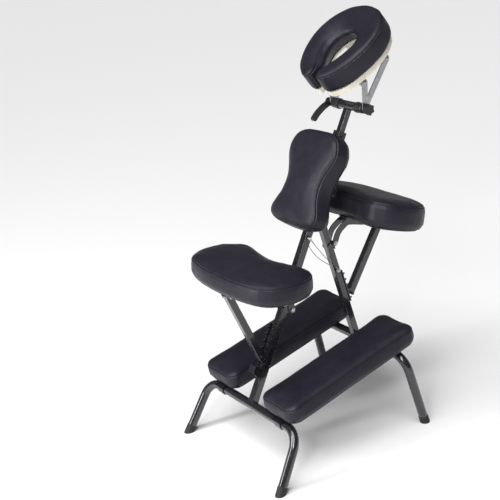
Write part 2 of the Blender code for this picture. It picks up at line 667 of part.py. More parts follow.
# ---------------------------------------------------------------- head support
def head_support():
    post = square_tube("head_post", 0.0088, POST_WALL, 0.655, TBAR_Z - 0.006, STEEL, A)
    across = shifted(A, 0, 0, TBAR_Z) @ ALONG_X
    fuse(post, cylinder("tee", TBAR_R, -0.034, 0.034, STEEL, across, 24))
    cut(post, cylinder("cutter", ROD_R + 0.0003, -0.05, 0.05, PLAIN, across, 20))
    for side, label in ((-1, "left"), (1, "right")):
        turn = across if side > 0 else across @ Matrix.Rotation(math.pi, 4, "X")
        bore = ROD_R + 0.0003
        lathe("bushing_" + label,
              [(bore, 0.0343), (0.0140, 0.0343), (0.0150, 0.0355), (0.0150, 0.0450),
               (0.0142, 0.0460), (0.0142, 0.0600), (0.0128, 0.0636), (bore, 0.0636)],
              PLASTIC, turn)
    cylinder("cradle_rod", ROD_R, -0.0708, 0.0708, ZINC, across, 20)
    knob = cylinder("star_knob", 0.0085, 0.0712, 0.0760, PLASTIC, across, 20)
    fuse(knob, prism("lobes", star(0.0160, 6, 0.0035, 48), 0.0750, 0.0890, PLASTIC, across))
    lever = cylinder("cam_lever", 0.0115, -0.0890, -0.0712, PLASTIC, across, 20)
    rod = Vector((ROD.y, ROD.z))
    way = Vector((math.cos(math.radians(200)), math.sin(math.radians(200))))
    drop = Vector((-way.y, way.x)) * 0.012
    path = spline([tuple(rod), tuple(rod + way * 0.026), tuple(rod + way * 0.052 + drop * 0.4),
                   tuple(rod + way * 0.070 + drop)], 4)
    fuse(lever, side_plate("blade", bar_outline([tuple(p) for p in path], 0.0070),
                           -0.0862, -0.0742, PLASTIC, Matrix.Identity(4)))


# ---------------------------------------------------------------- face cradle
def c_shape(half, steps):
    """A C-shaped outline with its gap at -Y, anticlockwise."""
    right = spline(half, steps)
    left = [Vector((-p.x, p.y)) for p in right[-2:0:-1]]
    return (right + left)[::-1]


def near_hole(point):
    """1 round the cushion's hole, falling to 0 at its outer edge and at the mouth of its slot."""
    reach = math.hypot(point.x / 0.040, (point.y + 0.010) / 0.060)
    return min(max((1.9 - reach) / 0.8, 0.0), 1.0)


def flared(outline, amount, flare):
    """The outline moved inwards by amount, and by flare more where it runs round the hole."""
    return [point + (moved - point) * (amount + flare * near_hole(point))
            for point, moved in zip(outline, inset(outline, 1.0))]


def c_cushion(name, rings, look, matrix):
    """A closed skin over C-shaped rings whose top falls from its outer edge to its hole."""
    bm = bmesh.new()
    loops = [[bm.verts.new(point) for point in ring[::-1]] for ring in rings]
    count = len(rings[0])
    for low, high in zip(loops, loops[1:]):
        for i in range(count):
            j = (i + 1) % count
            bm.faces.new((low[j], low[i], high[i], high[j]))
    bm.faces.new(loops[0])
    top = loops[-1]
    half, tip = count // 2, count // 4
    spine = None
    for sign in (1, -1):
        before = None
        for k in range(tip):
            outer, inner = top[sign * k], top[(half - sign * k) % count]
            row = [outer]
            if k == 0 and spine:
                row = spine
            else:
                for share in (0.4, 0.75):
                    point = outer.co.lerp(inner.co, share)
                    point.z = outer.co.z + (inner.co.z - outer.co.z) * share ** 2.2
                    row.append(bm.verts.new(point))
                row.append(inner)
            spine = spine or row
            if before:
                for a in range(3):
                    bm.faces.new((before[a], before[a + 1], row[a + 1], row[a]))
            before = row
        bm.faces.new((*before, top[sign * tip]))
    return from_bmesh(name, bm, look, matrix, True)


def cradle():
    cushion = c_shape(FACE, 2)
    base = shifted(CRADLE, 0, CUSHION_Y, 0)
    shoulder = CUSHION_T - 0.013
    # inset, share of the flare, height, share of the dish
    levels = [(0.003, 1.0, 0.0, 0.0), (0.0, 0.85, 0.006, 0.0), (0.0, 0.0, shoulder, 1.0),
              (0.0018, 0.0, CUSHION_T - 0.0065, 1.0), (0.006, 0.0, CUSHION_T - 0.0018, 1.0),
              (0.0105, 0.0, CUSHION_T, 1.0)]
    rings = []
    for amount, flare, height, dish in levels:
        moved = flared(cushion, amount, CUSHION_FLARE * flare)
        rings.append([(p.x, p.y, CUSHION_BASE + height - CUSHION_DISH * dish * near_hole(q))
                      for p, q in zip(moved, cushion)])
    c_cushion("face_cushion", rings, VINYL, base)
    top = CUSHION_BASE - GAP
    hole_gap = CUSHION_FLARE + 0.002
    plate = []
    for point, moved in zip(cushion, inset(cushion, 1.0)):
        above = min(max((point.y + 0.11) / 0.05, 0.0), 1.0)
        edge = TIP_INSET + PLATFORM_INSET * above
        share = near_hole(point)
        plate.append(tuple(point + (moved - point) * (edge * (1 - share) + hole_gap * share)))
    platform = prism("cradle_platform", plate, top - PLATFORM_T, top, CREAM, base)
    channel = [tuple(p) for p in c_shape(CHANNEL, 3)]
    cut(platform, prism("cutter", channel, top - 0.03, top - PLATFORM_WEB, PLAIN, base))
    for side in (-1, 1):
        low, high = sorted((side * 0.0540, side * 0.0636))
        for y, z in (PIVOT_F, PIVOT_C):
            root = top - PLATFORM_WEB / 2
            outline = [(y - 0.014, root), (y - 0.011, z - 0.004), (y - 0.006, z - 0.009),
                       (y + 0.006, z - 0.009), (y + 0.011, z - 0.004), (y + 0.014, root)]
            fuse(platform, side_plate("ear", outline, low, high, CREAM, CRADLE))
    for side, label in ((-1, "left"), (1, "right")):
        for y, z, where, start in ((*PIVOT_F, "forehead", 0.0640), (*PIVOT_C, "chin", 0.0674)):
            low, high = sorted((side * start, side * (start + ARM_T)))
            outline = bar_outline([(0, 0), (y * 0.5, z * 0.5), (y, z)], 0.0090)
            arm = side_plate("cradle_arm_%s_%s" % (where, label), outline, low, high,
                             ALUMINIUM, CRADLE)
            cut(arm, hole_x(ROD_R + 0.0003, 0, 0, CRADLE))
            head = lathe("rivet", [(0, 0), (0.0062, 0), (0.0056, 0.002), (0.0034, 0.0032),
                                   (0, 0.0036)], ALUMINIUM,
                         shifted(CRADLE, side * (start + ARM_T - 0.0002), y, z)
                         @ Matrix.Rotation(side * math.pi / 2, 4, "Y"), 14)
            fuse(arm, head)


# ---------------------------------------------------------------- limit cables
def cables():
    upper = A @ Vector((0, 0, CABLE_ON_A))
    lower = B @ Vector((0, 0, CABLE_ON_B))
    along = (lower - upper).normalized()
    grip = CABLE_X + EYE_HALF
    cross_bolt("cable_bolt_upper", 0.003, grip, A, 0, CABLE_ON_A, 0.003)
    cross_bolt("cable_bolt_lower", 0.003, grip, B, 0, CABLE_ON_B, 0.003)
    ring = [(0.0033, -EYE_HALF), (0.0062, -EYE_HALF), (0.0062, EYE_HALF), (0.0033, EYE_HALF)]
    for side, label in ((-1, "left"), (1, "right")):
        sideways = Matrix.Rotation(side * math.pi / 2, 4, "Y")
        start, end = upper.copy(), lower.copy()
        start.x = end.x = side * CABLE_X
        wire = sweep("limit_cable_" + label,
                     [start + along * 0.004, start + along * 0.060, end - along * 0.017],
                     WIRE_R, ZINC, Matrix.Identity(4), 10)
        fuse(wire, lathe("eye", ring, ZINC, Matrix.Translation(start) @ sideways, 18),
             sweep("sleeve", [start + along * 0.0050, start + along * 0.0200], SLEEVE_R,
                   ZINC, Matrix.Identity(4), 12))
        eye = lathe("cable_end_" + label, ring, ZINC, Matrix.Translation(end) @ sideways, 18)
        fuse(eye, sweep("sleeve", [end - along * 0.0050, end - along * 0.0155], SLEEVE_R,
                        ZINC, Matrix.Identity(4), 12))


def put_origins(matrix, *names):
    """Moves the objects' origins onto a joint's axis and leaves their shapes where they are."""
    for name in names:
        obj = bpy.data.objects[name]
        obj.data.transform(matrix.inverted() @ obj.matrix_world)
        obj.matrix_world = matrix


def build():
    clear_scene()
    leg_frame("rear_leg_frame", "rear_foot_", REAR_BAR, REAR_FOOT_Y)
    leg_frame("front_leg_frame", "front_foot_", FRONT_BAR, FRONT_FOOT_Y)
    main_post()
    front_post()
    fold_bracket()
    seat_group()
    armrest_group()
    knee_pads()
    chest_group()
    head_support()
    cradle()
    cables()
    put_origins(frame(FOLD.y, FOLD.z, 0), "front_post", "front_leg_frame", "front_foot_left",
                "front_foot_right", "armrest_ratchet", "armrest_lug", "cable_bolt_lower",
                "cable_end_left", "cable_end_right")
    put_origins(frame(SEAT_HINGE.y, SEAT_HINGE.z, 0), "seat_board", "seat_pad", "seat_bracket",
                "seat_strut_bracket")
    put_origins(frame(*SEAT_STRUT_TOP, 0), "seat_strut", "seat_strut_bolt")
    put_origins(frame(ARM_HINGE.y, ARM_HINGE.z, 0), "armrest_board", "armrest_pad",
                "armrest_bracket", "armrest_strut_bracket")
    put_origins(frame(*ARM_STRUT_TOP, 0), "armrest_strut", "armrest_strut_bolt")
    put_origins(CRADLE, "cradle_platform", "face_cushion")
    for obj in bpy.data.objects:
        obj.matrix_world = Matrix.Translation((0, Y_SHIFT, 0)) @ obj.matrix_world


build()
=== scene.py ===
"""Folding kneeling massage chair: its looks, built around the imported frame, in metres.

+Z is up, +Y is the way the sitter faces and +X is the sitter's right.
"""

import json
import math

import bmesh
import bpy
from mathutils import Matrix, Vector, noise


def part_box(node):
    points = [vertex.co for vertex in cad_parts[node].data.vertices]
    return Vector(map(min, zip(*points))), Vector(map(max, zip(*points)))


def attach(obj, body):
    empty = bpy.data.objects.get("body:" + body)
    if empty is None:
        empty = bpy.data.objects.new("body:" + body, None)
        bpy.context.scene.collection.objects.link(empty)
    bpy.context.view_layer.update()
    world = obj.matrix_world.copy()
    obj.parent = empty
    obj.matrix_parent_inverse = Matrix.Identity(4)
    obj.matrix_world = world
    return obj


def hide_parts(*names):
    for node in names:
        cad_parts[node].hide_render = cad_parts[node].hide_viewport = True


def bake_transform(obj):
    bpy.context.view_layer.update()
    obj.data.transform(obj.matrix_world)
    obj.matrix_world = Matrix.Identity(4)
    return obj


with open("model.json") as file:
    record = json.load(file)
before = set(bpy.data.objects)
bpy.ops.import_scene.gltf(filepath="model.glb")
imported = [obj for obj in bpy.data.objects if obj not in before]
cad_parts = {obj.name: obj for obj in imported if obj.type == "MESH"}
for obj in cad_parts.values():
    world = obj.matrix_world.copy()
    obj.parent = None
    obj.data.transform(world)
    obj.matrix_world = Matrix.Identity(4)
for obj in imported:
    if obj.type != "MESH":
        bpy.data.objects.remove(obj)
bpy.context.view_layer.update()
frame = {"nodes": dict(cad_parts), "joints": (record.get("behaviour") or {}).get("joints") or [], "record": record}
NODES = frame["nodes"]
BODY_OF = {n: body for body, members in frame["record"]["behaviour"]["bodies"].items()
           for n in members}
MOUNTS = {m["name"]: m for m in frame["record"]["mounts"]}

# ---------------------------------------------------------------- camera and light
CAMERA_AZIMUTH, CAMERA_ELEVATION, CAMERA_ROLL = 54.72, 20.10, -5.32   # degrees
CAMERA_DISTANCE = 2.89
CAMERA_TARGET = Vector((0, -0.047, 0.60))
CAMERA_LENS = 76.6
CAMERA_SHIFT = (-0.083, -0.036)
FLOOR_SIZE = 60.0
WORLD_STRENGTH = 0.14
BACKDROP_STRENGTH = 0.90     # the world as the camera sees it behind the floor
SUN_STRENGTH = 3.1

SUN_SPREAD = math.radians(50)
SUN_DIRECTION = Vector((-0.25, 0.45, -1.0))
LIT_POINT = (0, 0, 0.6)      # the middle of the chair, which the panels face

# ---------------------------------------------------------------- padding
VOXEL = 0.005            # cloth mesh size
CLOTH_FRAMES = 20
PUFF = 4.0               # pressure of the foam on the cover
EVEN_PASSES = 24
PINNED_HEIGHT = 0.006    # the cover is stapled down this far above its lowest edge
WRINKLE, WRINKLE_FROM = 0.0006, 0.004   # depth of the cover's unevenness, and how high it starts
SEAM_DROP = 0.011        # the seam's depth under a pad's top
SEAM_DEPTH, SEAM_WIDTH, SEAM_LIP = 0.0028, 0.0026, 0.0010
SIDE_NORMAL = 0.92       # the cover is sewn only where its normal's height is below this
ON_SEAM = 1e-5
STITCH_RISE = 0.0042     # a row of stitches runs this far above its seam
STITCH_PITCH = 0.0050
STITCH_LENGTH = 0.0032
STITCH_R = 0.00035
STITCH_SIDES = 6
STITCH_PROFILE = ((-0.5, 0.35), (-0.3, 1.0), (0.3, 1.0), (0.5, 0.35))   # place, thickness
DUST_CLOTH_BORDER, DUST_CLOTH_THICKNESS = 0.012, 0.0008
STAPLE_PITCH = 0.036
STAPLE_LENGTH, STAPLE_WIRE = 0.010, 0.0009

# ---------------------------------------------------------------- hard parts
SQUARE_TUBES = ("main_post", "front_post", "seat_strut", "armrest_strut", "head_post")
TUBE_ROUNDING, EDGE_ROUNDING = 0.0012, 0.0004

# ---------------------------------------------------------------- face cradle and cables
CRADLE_TILT = math.radians(36)     # +X turn of the cradle's frame at rest
CUSHION_Y, CUSHION_TOP = 0.0925, 0.1637   # middle of the cushion's top in that frame
WIRE_R = 0.0009
WIRE_INSET, WIRE_END_INSET = 0.005, 0.008    # from the bolts to the wire's two ends
WIRE_POINTS, EYE_POINTS = 25, 28
EYE_R, EYE_WIRE_R = 0.0046, 0.0013
SLEEVE_R, SLEEVE_LENGTH = 0.0020, 0.015


# ================================================================ materials
def new_material(name):
    made = bpy.data.materials.new(name)
    made.use_nodes = True
    tree = made.node_tree
    return made, tree, tree.nodes["Principled BSDF"]


def add_node(tree, kind, inputs=None, **settings):
    node = tree.nodes.new(kind)
    for key, value in settings.items():
        setattr(node, key, value)
    for key, value in (inputs or {}).items():
        node.inputs[key].default_value = value
    return node


def object_coords(tree):
    return add_node(tree, "ShaderNodeTexCoord").outputs["Object"]


def noise_texture(tree, coords, scale, detail=4.0, roughness=0.55):
    node = add_node(tree, "ShaderNodeTexNoise",
                    {"Scale": scale, "Detail": detail, "Roughness": roughness})
    tree.links.new(coords, node.inputs["Vector"])
    return node.outputs["Fac"]


def voronoi_texture(tree, coords, scale):
    node = add_node(tree, "ShaderNodeTexVoronoi", {"Scale": scale}, feature="DISTANCE_TO_EDGE")
    tree.links.new(coords, node.inputs["Vector"])
    return node.outputs["Distance"]


def ramp(tree, value, stops):
    """stops are (position, colour); the colour is a grey number or an RGB triple."""
    node = add_node(tree, "ShaderNodeValToRGB")
    elements = node.color_ramp.elements
    while len(elements) < len(stops):
        elements.new(0.5)
    for element, (position, colour) in zip(elements, stops):
        element.position = position
        rgb = (colour,) * 3 if isinstance(colour, (int, float)) else colour
        element.color = (*rgb, 1)
    tree.links.new(value, node.inputs["Fac"])
    return node.outputs["Color"]


def bump(tree, shader, layers):
    """layers are (height socket, distance in metres, strength), stacked on one another."""
    normal = None
    for height, distance, strength in layers:
        node = add_node(tree, "ShaderNodeBump", {"Distance": distance, "Strength": strength})
        tree.links.new(height, node.inputs["Height"])
        if normal:
            tree.links.new(normal, node.inputs["Normal"])
        normal = node.outputs["Normal"]
    tree.links.new(normal, shader.inputs["Normal"])


def vinyl(name):
    """Near-black synthetic leather with a fine pebbled grain and soft creases."""
    made, tree, shader = new_material(name)
    coords = object_coords(tree)
    blotch = noise_texture(tree, coords, 9.0, 3.0)
    base = (0.0095, 0.0086, 0.0148)
    lighter = (0.0170, 0.0157, 0.0260)
    tree.links.new(ramp(tree, blotch, [(0.30, base), (0.75, lighter)]),
                   shader.inputs["Base Color"])
    grain = voronoi_texture(tree, coords, 950.0)
    pores = noise_texture(tree, coords, 2400.0, 2.0)
    creases = noise_texture(tree, coords, 34.0, 5.0, 0.6)
    tree.links.new(ramp(tree, creases, [(0.25, 0.36), (0.80, 0.50)]),
                   shader.inputs["Roughness"])
    shader.inputs["Specular IOR Level"].default_value = 0.30
    bump(tree, shader, [(creases, 0.0022, 0.30), (grain, 0.00030, 0.45), (pores, 0.00008, 0.4)])
    return made


def powder_coat(name):
    """Charcoal semi-gloss powder coat with its fine orange peel."""
    made, tree, shader = new_material(name)
    coords = object_coords(tree)
    speckle = noise_texture(tree, coords, 700.0, 3.0)
    scuffs = noise_texture(tree, coords, 60.0, 6.0, 0.7)
    tree.links.new(ramp(tree, speckle, [(0.30, (0.007, 0.007, 0.010)),
                                        (0.72, (0.018, 0.018, 0.025))]),
                   shader.inputs["Base Color"])
    tree.links.new(ramp(tree, scuffs, [(0.35, 0.20), (0.75, 0.34)]), shader.inputs["Roughness"])
    shader.inputs["Metallic"].default_value = 0.20
    shader.inputs["Coat Weight"].default_value = 0.90
    shader.inputs["Coat Roughness"].default_value = 0.07
    bump(tree, shader, [(speckle, 0.00012, 0.6)])
    return made


def bare_metal(name, colour, roughness, scratch=420.0):
    """Bright metal, a little scratched and clouded."""
    made, tree, shader = new_material(name)
    coords = object_coords(tree)
    cloud = noise_texture(tree, coords, 90.0, 5.0)
    fine = noise_texture(tree, coords, scratch, 3.0)
    dark = [c * 0.72 for c in colour]
    tree.links.new(ramp(tree, cloud, [(0.30, dark), (0.70, colour)]), shader.inputs["Base Color"])
    tree.links.new(ramp(tree, fine, [(0.30, roughness * 0.75), (0.75, roughness * 1.25)]),
                   shader.inputs["Roughness"])
    shader.inputs["Metallic"].default_value = 1.0
    bump(tree, shader, [(fine, 0.00005, 0.5)])
    return made


def moulded(name, low, high, roughness, grain_scale=1400.0):
    """Moulded plastic or rubber: an even colour with a spark-eroded grain."""
    made, tree, shader = new_material(name)
    coords = object_coords(tree)
    tint = noise_texture(tree, coords, 26.0, 3.0)
    grain = noise_texture(tree, coords, grain_scale, 2.0)
    tree.links.new(ramp(tree, tint, [(0.30, low), (0.75, high)]), shader.inputs["Base Color"])
    tree.links.new(ramp(tree, grain, [(0.30, roughness * 0.85), (0.75, roughness * 1.15)]),
                   shader.inputs["Roughness"])
    bump(tree, shader, [(grain, 0.00006, 0.6)])
    return made


def black_cloth(name):
    """Plywood covered in thin black cloth: a plain weave."""
    made, tree, shader = new_material(name)
    coords = object_coords(tree)
    threads = []
    for direction in ("X", "Y"):
        wave = add_node(tree, "ShaderNodeTexWave", {"Scale": 260.0, "Distortion": 1.2,
                                                    "Detail": 1.0},
                        bands_direction=direction)
        tree.links.new(coords, wave.inputs["Vector"])
        threads.append(wave.outputs["Fac"])
    weave = add_node(tree, "ShaderNodeMath", operation="MULTIPLY")
    for socket, thread in zip(weave.inputs, threads):
        tree.links.new(thread, socket)
    tree.links.new(ramp(tree, weave.outputs[0], [(0.0, (0.010, 0.010, 0.011)),
                                                 (1.0, (0.034, 0.033, 0.035))]),
                   shader.inputs["Base Color"])
    shader.inputs["Roughness"].default_value = 0.88
    shader.inputs["Sheen Weight"].default_value = 0.25
    bump(tree, shader, [(weave.outputs[0], 0.0003, 0.7)])
    return made


def plain(name, colour, roughness):
    made, tree, shader = new_material(name)
    shader.inputs["Base Color"].default_value = (*colour, 1)
    shader.inputs["Roughness"].default_value = roughness
    return made


# ================================================================ mesh helpers
def link_mesh(name, bm, material, smooth=True):
    mesh = bpy.data.meshes.new(name)
    bm.to_mesh(mesh)
    bm.free()
    for face in mesh.polygons:
        face.use_smooth = smooth
    mesh.materials.append(material)
    obj = bpy.data.objects.new(name, mesh)
    bpy.context.scene.collection.objects.link(obj)
    return obj


def evaluated_mesh(obj):
    """A new mesh of an object's final shape."""
    graph = bpy.context.evaluated_depsgraph_get()
    return bpy.data.meshes.new_from_object(obj.evaluated_get(graph))


def bake(obj):
    """Puts the mesh that an object's modifiers make in place of its own."""
    mesh = evaluated_mesh(obj)
    old = obj.data
    obj.modifiers.clear()
    obj.data = mesh
    bpy.data.meshes.remove(old)


def axis_frame(name):
    """A frame on a mount: local Z is its outward normal and local X the chair's."""
    mount = MOUNTS[name]
    z = Vector(mount["axis"]).normalized()
    x = Vector((1, 0, 0))
    y = z.cross(x).normalized()
    matrix = Matrix((x, y, z)).transposed().to_4x4()
    matrix.translation = Vector(mount["pos_m"])
    return matrix


def cushion_frame():
    """The frame of the face cushion's top: local Z out of it, local Y towards the forehead."""
    joint = next(j for j in frame["joints"] if j["name"] == "cradle_tilt")
    return (Matrix.Translation(joint["pos_m"]) @ Matrix.Rotation(CRADLE_TILT, 4, "X")
            @ Matrix.Translation((0, CUSHION_Y, CUSHION_TOP)))


def ordered_loops(edges):
    """Closed chains of points from bmesh edges."""
    links = {}
    for edge in edges:
        a, b = edge.verts
        links.setdefault(a, []).append(b)
        links.setdefault(b, []).append(a)
    loops = []
    while links:
        start = next(iter(links))
        chain, last, here = [start.co.copy()], None, start
        while True:
            onward = [v for v in links.pop(here, []) if v is not last]
            onward = [v for v in onward if v in links or v is start]
            if not onward or onward[0] is start and len(chain) > 2:
                break
            last, here = here, onward[0]
            chain.append(here.co.copy())
        if len(chain) > 12:
            loops.append(chain)
    return loops


def evenly(points, pitch):
    """Points along a closed chain at an even pitch, each with its direction."""
    closed = points + [points[0]]
    lengths = [(b - a).length for a, b in zip(closed, closed[1:])]
    count = max(8, round(sum(lengths) / pitch))
    step = sum(lengths) / count
    out, travelled, i = [], 0.0, 0
    for k in range(count):
        goal = k * step
        while i < len(lengths) - 1 and travelled + lengths[i] < goal:
            travelled += lengths[i]
            i += 1
        a, b = closed[i], closed[i + 1]
        share = (goal - travelled) / max(lengths[i], 1e-9)
        out.append((a.lerp(b, min(share, 1.0)), (b - a).normalized()))
    return out


# ================================================================ upholstery
def cloth_inflate(obj, pressure, cap, pinned_below):
    """Blows the cover up like foam pressing on it; the vertices below a height are pinned."""
    group = obj.vertex_groups.new(name="pinned")
    rest = [v.co.copy() for v in obj.data.vertices]
    held = [i for i, co in enumerate(rest) if co.z < pinned_below]
    group.add(held, 1.0, "REPLACE")
    modifier = obj.modifiers.new("Cloth", "CLOTH")
    settings = modifier.settings
    settings.quality = 5
    settings.mass = 0.3
    settings.tension_stiffness = settings.compression_stiffness = 15
    settings.shear_stiffness = 8
    settings.bending_stiffness = 0.6
    settings.use_pressure = True
    settings.uniform_pressure_force = pressure
    settings.vertex_group_mass = "pinned"
    settings.effector_weights.gravity = 0
    modifier.point_cache.frame_start = 1
    modifier.point_cache.frame_end = CLOTH_FRAMES
    for number in range(1, CLOTH_FRAMES + 1):
        bpy.context.scene.frame_set(number)
    graph = bpy.context.evaluated_depsgraph_get()
    moved = obj.evaluated_get(graph).data
    after = [v.co.copy() for v in moved.vertices]
    obj.modifiers.clear()
    obj.vertex_groups.clear()
    travel = [new - old for old, new in zip(rest, after)]
    travel = [t.normalized() * min(t.length, cap) for t in travel]
    for vertex, old, push in zip(obj.data.vertices, rest, evened(obj, travel, EVEN_PASSES)):
        vertex.co = old + push
    bpy.context.scene.frame_set(1)


def evened(obj, values, times):
    """Per-vertex vectors averaged with their neighbours', so the foam fills out the creases."""
    near = [[] for _ in values]
    for edge in obj.data.edges:
        a, b = edge.vertices
        near[a].append(b)
        near[b].append(a)
    for _ in range(times):
        values = [sum((values[j] for j in near[i]), values[i] * 2) / (len(near[i]) + 2)
                  for i in range(len(values))]
    return values


def soft_copy(name, nodes, local, shrink):
    """CAD solids merged in a frame of their own, remeshed into even cells, a little smaller."""
    bm = bmesh.new()
    for node in nodes:
        bm.from_mesh(NODES[node].data)
    obj = link_mesh(name, bm, LOOKS["vinyl"])
    obj.data.transform(local.inverted())
    weld = obj.modifiers.new("Weld", "WELD")
    weld.merge_threshold = 0.0001
    remesh = obj.modifiers.new("Remesh", "REMESH")
    remesh.mode = "VOXEL"
    remesh.voxel_size = VOXEL
    bake(obj)
    low = min(v.co.z for v in obj.data.vertices)
    normals = [v.normal.copy() for v in obj.data.vertices]
    for vertex, normal in zip(obj.data.vertices, normals):
        vertex.co -= normal * shrink
        vertex.co.z = max(vertex.co.z, low)
    return obj


def soften(obj, times):
    """Moves every vertex halfway to the middle of its neighbours, a number of times."""
    bm = bmesh.new()
    bm.from_mesh(obj.data)
    for _ in range(times):
        bmesh.ops.smooth_vert(bm, verts=bm.verts, factor=0.5, use_axis_x=True,
                              use_axis_y=True, use_axis_z=True)
    bm.to_mesh(obj.data)
    bm.free()


def subdivide(obj):
    modifier = obj.modifiers.new("Subdivision", "SUBSURF")
    modifier.levels = modifier.render_levels = 1
    bake(obj)


def cut_level(bm, height):
    """Cuts the mesh at a local height and returns the new edges and vertices."""
    return bmesh.ops.bisect_plane(bm, geom=bm.verts[:] + bm.edges[:] + bm.faces[:], dist=1e-6,
                                  plane_co=(0, 0, height), plane_no=(0, 0, 1))["geom_cut"]


def sew(obj, height):
    """Presses a seam into the cover's side at a local height, with a slight swell beside it."""
    bm = bmesh.new()
    bm.from_mesh(obj.data)
    for z in (height - SEAM_WIDTH, height, height + SEAM_WIDTH):
        cut_level(bm, z)
    bm.normal_update()
    pushes = []
    for vertex in [v for v in bm.verts if abs(v.normal.z) < SIDE_NORMAL]:
        away = abs(vertex.co.z - height)
        if away < ON_SEAM:
            pushes.append((vertex, vertex.normal * -SEAM_DEPTH))
        elif abs(away - SEAM_WIDTH) < ON_SEAM:
            pushes.append((vertex, vertex.normal * SEAM_LIP))
    for vertex, push in pushes:
        vertex.co += push
    bm.to_mesh(obj.data)
    bm.free()


def stitches(name, chains, material):
    """Short threads end to end along each chain of (point, direction, outward)."""
    bm = bmesh.new()
    turns = [2 * math.pi * k / STITCH_SIDES for k in range(STITCH_SIDES)]
    for chain in chains:
        for point, along, outward in chain:
            across = along.cross(outward).normalized()
            rings = []
            for s, r in STITCH_PROFILE:
                centre = point + along * (STITCH_LENGTH * s) + outward * (STITCH_R * 0.5 * r)
                rings.append([bm.verts.new(centre + STITCH_R * r * (
                    across * math.cos(turn) + outward * math.sin(turn))) for turn in turns])
            for low, high in zip(rings, rings[1:]):
                for k in range(STITCH_SIDES):
                    j = (k + 1) % STITCH_SIDES
                    bm.faces.new((low[k], low[j], high[j], high[k]))
            bm.faces.new(rings[0][::-1])
            bm.faces.new(rings[-1])
    bmesh.ops.recalc_face_normals(bm, faces=bm.faces)
    return link_mesh(name, bm, material)


def stitch_chains(obj, height):
    """Even points round a cover's side at a local height, with the surface's normals there."""
    bm = bmesh.new()
    bm.from_mesh(obj.data)
    edges = [e for e in cut_level(bm, height) if isinstance(e, bmesh.types.BMEdge)]
    loops = ordered_loops(edges)
    bm.free()
    chains = []
    for loop in loops:
        chain = []
        for point, along in evenly(loop, STITCH_PITCH):
            found, where, normal, _ = obj.closest_point_on_mesh(point)
            if found and abs(normal.z) < SIDE_NORMAL:
                chain.append((where, along, normal))
        chains.append(chain)
    return chains


def upholster(name, nodes, local, cap=0.006, shrink=0.003, soft_passes=2):
    """A pad: an inflated cover with a sewn seam below its top edge and a row of stitches."""
    obj = soft_copy(name, nodes, local, shrink)
    low = min(v.co.z for v in obj.data.vertices)
    cloth_inflate(obj, PUFF, cap, low + PINNED_HEIGHT)
    soften(obj, soft_passes)
    obj.data.update()
    normals = [v.normal.copy() for v in obj.data.vertices]
    for vertex, normal in zip(obj.data.vertices, normals):
        lift = noise.noise(vertex.co * 28.0) + 0.5 * noise.noise(vertex.co * 61.0)
        if vertex.co.z > low + WRINKLE_FROM:
            vertex.co += normal * lift * WRINKLE
    subdivide(obj)
    sew(obj, -SEAM_DROP)
    for face in obj.data.polygons:
        face.use_smooth = True
    chains = stitch_chains(obj, -SEAM_DROP + STITCH_RISE)
    threads = stitches(name + "_stitching", chains, LOOKS["thread"])
    for piece in (obj, threads):
        piece.matrix_world = local
        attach(piece, BODY_OF[nodes[0]])
    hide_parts(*nodes)


def underside(name, board, local):
    """The dust cloth under a padded board, with a row of staples round its edge."""
    bm = bmesh.new()
    bm.from_mesh(NODES[board].data)
    bm.transform(local.inverted())
    bmesh.ops.remove_doubles(bm, verts=bm.verts, dist=0.00001)
    bmesh.ops.dissolve_limit(bm, angle_limit=0.01, verts=bm.verts, edges=bm.edges)
    flat = min(bm.faces, key=lambda f: (round(f.normal.z, 2), -f.calc_area()))
    outline = [v.co.copy() for v in flat.verts]
    bm.free()
    low = outline[0].z
    cloth = bmesh.new()
    ring = []
    for i, point in enumerate(outline):
        along = (outline[(i + 1) % len(outline)] - outline[i - 1]).normalized()
        inward = along.cross(Vector((0, 0, 1))).normalized()
        ring.append(point + inward * DUST_CLOTH_BORDER)
    for z in (low - DUST_CLOTH_THICKNESS, low + 0.001):
        cloth.faces.new([cloth.verts.new((p.x, p.y, z)) for p in ring])
    cloth.faces.ensure_lookup_table()
    bottom, top = cloth.faces[0].verts[:], cloth.faces[1].verts[:]
    for i in range(len(ring)):
        j = (i + 1) % len(ring)
        cloth.faces.new((bottom[i], bottom[j], top[j], top[i]))
    bmesh.ops.recalc_face_normals(cloth, faces=cloth.faces)
    sheet = link_mesh(name, cloth, LOOKS["cloth"], False)
    staples = bmesh.new()
    for point, along in evenly(ring, STAPLE_PITCH):
        across = along.cross(Vector((0, 0, 1))).normalized()
        place = Matrix((along, across, Vector((0, 0, 1)))).transposed().to_4x4()
        place.translation = (point.x, point.y, low - DUST_CLOTH_THICKNESS)
        bmesh.ops.create_cube(staples, size=1, matrix=place @ Matrix.Diagonal(
            (STAPLE_LENGTH, STAPLE_WIRE, STAPLE_WIRE, 1)))
    pins = link_mesh(name + "_staples", staples, LOOKS["zinc"], False)
    for piece, slot in ((sheet, "board"), (pins, "zinc")):
        piece.matrix_world = local
        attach(piece, BODY_OF[board])


# ================================================================ hard parts
def refine(obj, width):
    """Round shading and small rounded edges on a CAD solid, its own vertices untouched."""
    obj.data.shade_smooth()
    weld = obj.modifiers.new("Weld", "WELD")
    weld.merge_threshold = 0.00002
    bevel = obj.modifiers.new("Bevel", "BEVEL")
    bevel.width = width
    bevel.segments = 2
    bevel.limit_method = "ANGLE"
    bevel.angle_limit = math.radians(32)
    bevel.use_clamp_overlap = True
    normals = obj.modifiers.new("Normals", "WEIGHTED_NORMAL")
    normals.keep_sharp = True


